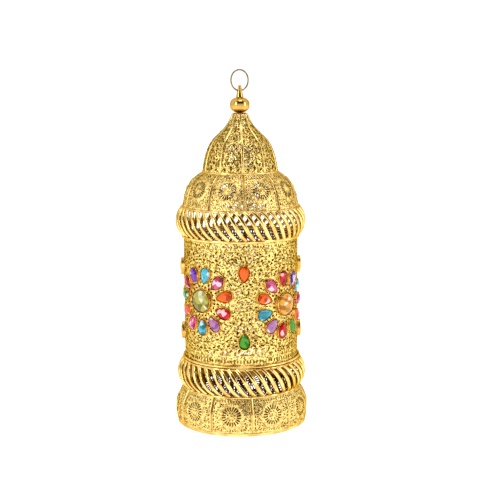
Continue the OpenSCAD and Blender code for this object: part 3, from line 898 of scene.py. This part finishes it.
for node, kind, build, body in (
        ("upper_band_rods", "swept", rods(*UPPER_BAND), "cover"),
        ("lower_band_rods", "swept", rods(*LOWER_BAND), "base"),
        ("upper_band_top_ring", "wire", ring(BAND_R, UPPER_BAND[1], THIN_R), "cover"),
        ("body_hem_ring", "wire", ring(BAND_R, BODY_HEM_Z, THIN_R), "cover"),
        ("lower_band_top_ring", "wire", ring(BAND_R, LOWER_BAND[1], THIN_R), "base"),
        ("lower_band_bottom_ring", "wire", ring(THICK_BAND_R, LOWER_BAND[0], THICK_R), "base"),
        ("upper_band_bottom_ring", "wire", lapped_ring(THICK_BAND_R, UPPER_BAND[0], THICK_R, 21), "cover")):
    piece(node, kind, build, [WIRE_GOLD], body)


# ---- Stones and settings ----

def drop_outline(grow=0.0, n=28):
    """A drop with swelling sides, its point along +Y, clockwise from the point."""
    widest = max(math.sin(a) * math.sin(a / 2) ** DROP_TAPER for a in np.linspace(1.5, 2.3, 60))
    out = []
    for a in turns(n):
        out.append(((DROP_W / 2 + grow) * math.sin(a) * math.sin(a / 2) ** DROP_TAPER / widest,
                    (DROP_L / 2 + grow) * math.cos(a)))
    return out


def round_outline(grow=0.0, n=40):
    """A circle, clockwise from the top."""
    return [((CENTRE_R + grow) * math.sin(a), (CENTRE_R + grow) * math.cos(a)) for a in turns(n)]


def on_body(azimuth, z, spin):
    """Puts a stone or setting, drawn face up, on the wall."""
    return (Matrix.Rotation(math.radians(azimuth), 4, "Z") @ Matrix.Translation((0, -BODY_R + SEAT_SINK, z))
            @ Matrix.Rotation(math.radians(90), 4, "X") @ Matrix.Rotation(math.radians(-spin), 4, "Z"))


def surface_h(x, y, spin):
    """Height of the wall's face under a point of a setting."""
    s = math.radians(-spin)
    across = x * math.cos(s) - y * math.sin(s)
    return SEAT_SINK - across * across / (2 * BODY_R)


def bezel_rows(raised=0.0):
    """(grow, height, on_wall) up the outside of a bezel, over its lip and down its inside. For a row on the
    wall, the height is from the wall's face."""
    on_wall = [(1.2, -0.25), (1.25, 0.28), (1.15, 0.42), (1.0, 0.45), (0.92, 0.8)]
    lip = [(0.88, 1.9), (0.8, 2.25), (0.62, 2.35), (0.45, 2.2), (0.4, 1.9)]
    rows = [(*row, True) for row in on_wall] + [(grow, high + raised, False) for grow, high in lip]
    return rows + [(0.4, 0.55, False), (0.4, -0.25, True)]


def setting(build, outline, rows, azimuth, z, spin):
    """A bezel round a stone. Its inner side has the second material, painted dark as the shade in the groove
    round the stone.
    """
    verts, n, lip_rows = [], len(outline()), 8
    for grow, high, on_wall in rows:
        for x, y in outline(grow):
            verts.append((x, y, high + (surface_h(x, y, spin) if on_wall else 0)))
    faces = [f[::-1] for f in grid_faces(len(rows), n, close_rows=True)]
    build.add(verts, faces[:lip_rows * n], faces[lip_rows * n:], on_body(azimuth, z, spin))


def stone(build, outline, crown, levels, azimuth, z, spin):
    """A faceted stone. levels are (share of the outline round the crown's middle, height), each turned half a
    step from the one below."""
    corners = [Vector(p) for p in outline]
    n, crown, verts = len(corners), Vector(crown), []
    for level, (share, high) in enumerate(levels):
        for p, following in zip(corners, corners[1:] + corners[:1]):
            at = crown + ((p if level % 2 == 0 else (p + following) / 2) - crown) * share
            verts.append((at.x, at.y, high))
    faces = [tuple(range(n))]
    for level in range(len(levels) - 1):
        a, b = level * n, (level + 1) * n
        for i in range(n):
            j = (i + 1) % n
            if level % 2 == 0:
                faces += [(a + i, b + i, a + j), (a + j, b + i, b + j)]
            else:
                faces += [(a + i, b + i, b + j), (a + i, b + j, a + j)]
    faces.append(tuple(range(len(levels) * n - 1, (len(levels) - 1) * n - 1, -1)))
    build.add(verts, faces, matrix=on_body(azimuth, z, spin))


DROP_LEVELS = [(0.99, 0.5), (1.0, 1.9), (0.97, 2.3), (0.80, 3.1), (0.52, 3.9)]
CENTRE_LEVELS = [(0.99, 0.5), (1.0, 2.3), (0.97, 2.8), (0.78, 4.0), (0.50, 4.9)]
# Colour, azimuth, height and spin of each drop-shaped stone
petals = []
for f, (colours, angles) in enumerate(zip(PETAL_COLOURS, PETAL_ANGLES)):
    petals += [(colour, *petal_place(f, angle)) for colour, angle in zip(colours, angles)]
drops = [("orange", azimuth, UPPER_DROP_Z, 180) for azimuth in DROP_AZIMUTHS]
drops += [("green", azimuth, LOWER_DROP_Z, 0) for azimuth in DROP_AZIMUTHS]
centres = [(None, azimuth, z, 0) for azimuth, z in FLOWERS]

for node, stones, outline, raised in (("petal_settings", petals, drop_outline, 0),
                                      ("drop_settings", drops, drop_outline, 1.0),
                                      ("centre_settings", centres, round_outline, 0.6)):
    build = Build()
    for _, *at in stones:
        setting(build, outline, bezel_rows(raised), *at)
    piece(node, "bezels", build, [SETTING_GOLD, SHADED_GROOVE], smooth_angle=50)

for colour, rgb in GEM_COLOURS.items():
    build = Build()
    for own_colour, *at in petals + drops:
        if own_colour == colour:
            stone(build, drop_outline(0.0, 14), (0, -0.8), DROP_LEVELS, *at)
    piece("stones_" + colour, "cut", build, [gem("gem_" + colour, rgb)], smooth_angle=None)
for colour, chosen in (("olive", (0, 2)), ("amber", (1, 3))):
    build = Build()
    for f in chosen:
        stone(build, round_outline(0.0, 16), (0, 0), CENTRE_LEVELS, *FLOWERS[f], 0)
    piece("centre_stones_" + colour, "cut", build, [gem("gem_" + colour, CENTRE_COLOURS[colour])],
          smooth_angle=None)


# ---- Finial ----

def arc(r, z, rr, rz, a0, a1, n, power=1.0):
    """Points of an oval arc about (r, z), from angle a0 to a1. A power below 1 makes it fuller."""
    out = []
    for i in range(n + 1):
        c, s = (f(math.radians(a0 + (a1 - a0) * i / n)) for f in (math.cos, math.sin))
        out.append((r + rr * math.copysign(abs(c) ** power, c), z + rz * math.copysign(abs(s) ** power, s)))
    return out


STUD_R, STUD_FOOT_Z, BORE_R = 2, 276, 2.05
WASHER_Z, WASHER_R, WASHER_T, WASHER_EDGE = DOME_TOP_Z - 2.2, 6.2, 1, 0.2
CONE_TOP_Z, CONE_R, CONE_TIP_R, DRILL_R = 309.8, 3.5, 1.4, 1.1
BALL_TOP_Z = BALL_Z + BALL_HALF_H * math.sin(math.radians(82))


def ball():
    """A squat, full ball with a seam groove below its middle."""
    power, groove = 0.8, 0.3
    below = arc(0, BALL_Z, BALL_R, BALL_HALF_H, -84, -32, 16, power)
    above = arc(0, BALL_Z, BALL_R, BALL_HALF_H, -27, 84, 36, power)
    seam_r, seam_z = below[-1][0] - groove, (below[-1][1] + above[0][1]) / 2
    return ([(BORE_R, below[0][1])] + below + [(seam_r, seam_z - 0.1), (seam_r, seam_z + 0.1)] + above
            + [(BORE_R, above[-1][1])])


def collar():
    """Two beads, the lower one wider, on the mouth of the dome."""
    foot_z = DOME_TOP_Z + 0.02
    return ([(BORE_R, foot_z), (6.9, foot_z)] + arc(6.9, foot_z + 0.32, 0.4, 0.3, -80, 90, 6)
            + arc(5.4, foot_z + 0.96, 0.6, 0.34, -90, 90, 6) + [(BORE_R, foot_z + 1.32)])


def washer():
    flat_r, top_z = WASHER_R - WASHER_EDGE, WASHER_Z + WASHER_T
    return [(BORE_R, WASHER_Z), (flat_r, WASHER_Z), (WASHER_R, WASHER_Z + WASHER_EDGE),
            (WASHER_R, top_z - WASHER_EDGE), (flat_r, top_z), (BORE_R, top_z)]


def spike():
    """The stud and, over the ball, a slightly hollow cone."""
    axis_r, height = 0.01, CONE_TOP_Z - BALL_TOP_Z
    stud = [(axis_r, STUD_FOOT_Z), (STUD_R - 0.3, STUD_FOOT_Z), (STUD_R, STUD_FOOT_Z + 0.3),
            (STUD_R, BALL_TOP_Z)]
    cone = [(CONE_R - (CONE_R - CONE_TIP_R) * t - 0.15 * math.sin(math.pi * t), BALL_TOP_Z + t * height)
            for t in np.linspace(0.06, 0.95, 14)]
    tip = [(CONE_TIP_R - 0.2, CONE_TOP_Z - 0.15), (CONE_TIP_R - 0.6, CONE_TOP_Z), (axis_r, CONE_TOP_Z)]
    return stud + [(CONE_R - 0.3, BALL_TOP_Z), (CONE_R, BALL_TOP_Z + 0.3)] + cone + tip


def bore(obj):
    """Cuts the ring's cross hole through the spike."""
    n, reach = 24, 6
    place = (Matrix.Translation((0, 0, RING_HOLE_Z)) @ Matrix.Rotation(math.radians(RING_TURN), 4, "Z")
             @ Matrix.Rotation(math.radians(90), 4, "Y"))
    verts = [place @ Vector((DRILL_R * math.cos(t), DRILL_R * math.sin(t), h)) * MM
             for h in (-reach, reach) for t in turns(n)]
    mesh = bpy.data.meshes.new("drill")
    mesh.from_pydata(verts, [], [tuple(range(n))[::-1], tuple(range(n, 2 * n))] + grid_faces(2, n))
    drill = add_object("drill", mesh)
    cut = obj.modifiers.new("ring_hole", "BOOLEAN")
    cut.operation, cut.object, cut.solver = "DIFFERENCE", drill, "EXACT"
    bpy.context.view_layer.update()
    bored = bpy.data.meshes.new_from_object(obj.evaluated_get(bpy.context.evaluated_depsgraph_get()))
    obj.modifiers.clear()
    obj.data = bored
    bpy.data.objects.remove(drill)


def split_ring():
    """One turn of wire whose ends pass each other at the top."""
    lap, steps, turn, path = 4, 120, math.radians(RING_TURN), []
    for i in range(steps + 1):
        t = math.radians((360 + 2 * lap) * i / steps - lap)
        side = 0.42 * (max(0, 1 - i / 10) - max(0, 1 - (steps - i) / 10))
        across = RING_MID_R * math.sin(t)
        path.append((across * math.cos(turn) - side * math.sin(turn),
                     across * math.sin(turn) + side * math.cos(turn),
                     RING_HOLE_Z + RING_MID_R * (1 + math.cos(t))))
    return tube(Build(), path, [(-math.sin(turn), math.cos(turn), 0)] * (steps + 1), oval(0.65, 0.65, 10))


piece("finial_ball", "turned", lathe(ball(), 96), [TURNED_GOLD], smooth_angle=25)
piece("finial_washer", "flat", lathe(washer(), 64), [HARDWARE], smooth_angle=40)
piece("finial_collar", "turned", lathe(collar(), 96), [TURNED_GOLD], smooth_angle=40)
bore(piece("finial_spike", "turned", lathe(spike(), 64), [TURNED_GOLD], smooth_angle=40))
piece("hang_ring", "split", split_ring(), [RING_METAL], "ring")


# ---- Base rim ----

def rim():
    """The flat ring that the base stands on, round outside."""
    outer, inner, edge = BASE_R - 0.6, BASE_R - 3.4, 0.25
    return ([(inner, edge), (inner + edge, 0)] + arc(outer - 0.9, 0.9, 0.9, 0.9, -90, 0, 5)
            + arc(outer - 0.7, RIM_H - 0.7, 0.7, 0.7, 0, 90, 5)
            + [(inner + edge, RIM_H), (inner, RIM_H - edge)])


piece("base_hem_ring", "rolled", lathe(rim(), 160), [PLAIN_GOLD], "base")


# ---- Nodes shown as they are ----
# The locating skirt, inside the lantern, gets the same painted shade.
for node, material in (("bottom_plate", HARDWARE), ("candle_cup", PLAIN_GOLD), ("cup_rivets", HARDWARE),
                       ("finial_nut", HARDWARE), ("locating_skirt", SHADED_INNER_GOLD)):
    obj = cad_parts[node]
    obj.data.materials.clear()
    obj.data.materials.append(material)

# ---- Stage, light and camera ----
floor_mesh = bpy.data.meshes.new("floor")
floor_mesh.from_pydata([(-20, -20, 0), (20, -20, 0), (20, 20, 0), (-20, 20, 0)], [], [(0, 1, 2, 3)])
floor = add_object("floor", floor_mesh)
floor_mat, _, floor_bsdf = nodes_of("floor_white")
set_inputs(floor_bsdf, Base_Color=(0.95, 0.95, 0.95, 1), Roughness=0.9, Specular_IOR_Level=0.0,
           Emission_Color=(1, 1, 1, 1), Emission_Strength=0.7)
floor_mesh.materials.append(floor_mat)

world = bpy.data.worlds.new("studio")
bpy.context.scene.world = world
world.use_nodes = True
tree = world.node_tree
sky = tree.nodes["Background"]
coords = tree.nodes.new("ShaderNodeTexCoord")
split = tree.nodes.new("ShaderNodeSeparateXYZ")
chain(tree, coords, "Generated", "Vector", split)
# A brown, unlit side of the room, high up in front: the gold's dark reflections
dark = tree.nodes.new("ShaderNodeMath")
dark.operation = "MULTIPLY"
for index, axis, edges in ((0, "Y", (0.15, -0.75)), (1, "Z", (0.08, 0.30))):
    fade = shader(tree, "ShaderNodeMapRange", From_Min=edges[0], From_Max=edges[1])
    fade.interpolation_type = "SMOOTHSTEP"
    chain(tree, split, axis, "Value", fade, "Result", index, dark)
room = ramp(tree, [(0, (1, 1, 1)), (1, (0.07, 0.035, 0.012))])
chain(tree, dark, "Value", "Fac", room, "Color", "Color", sky)
set_inputs(sky, Strength=1.1)


LANTERN_MIDDLE = Vector((0, 0, 0.16))       # in metres, as the softboxes and the camera are


def softbox(name, location, size, radiance):
    """A rectangular light that faces the lantern's middle."""
    data = bpy.data.lights.new(name, "AREA")
    data.shape, data.size, data.size_y = "RECTANGLE", size[0], size[1]
    data.energy = radiance * math.pi * size[0] * size[1]
    obj = add_object(name, data)
    obj.location = location
    obj.rotation_euler = (LANTERN_MIDDLE - Vector(location)).to_track_quat("-Z", "Y").to_euler()


softbox("softbox_left", (-1.1, -0.9, 0.75), (0.45, 0.9), 5.0)
softbox("softbox_right", (1.2, -0.7, 0.6), (0.4, 0.9), 4.0)
softbox("softbox_top", (0.1, -0.4, 1.5), (0.6, 0.5), 4.6)

CAMERA_BACK, CAMERA_UP = 1.0092, 0.3127     # in metres, from the origin
CAMERA_AZIMUTH, CAMERA_PITCH, CAMERA_ROLL = -4.2, 8.486, -0.376
LENS_MM, SENSOR_MM, SHIFT_X, SHIFT_Y = 79.668, 36, 0.01862, -0.00588
camera_data = bpy.data.cameras.new("camera")
camera_data.sensor_width = SENSOR_MM
camera_data.lens = LENS_MM
camera_data.shift_x, camera_data.shift_y = SHIFT_X, SHIFT_Y
camera = add_object("camera", camera_data)
a = math.radians(CAMERA_AZIMUTH)
camera.matrix_world = (
    Matrix.Translation((CAMERA_BACK * math.sin(a), -CAMERA_BACK * math.cos(a), CAMERA_UP))
    @ Matrix.Rotation(a, 4, "Z") @ Matrix.Rotation(math.radians(90 - CAMERA_PITCH), 4, "X")
    @ Matrix.Rotation(math.radians(CAMERA_ROLL), 4, "Z"))
bpy.context.scene.camera = camera
bpy.context.scene.view_settings.view_transform = "Standard"
bpy.context.scene.cycles.use_denoising = False
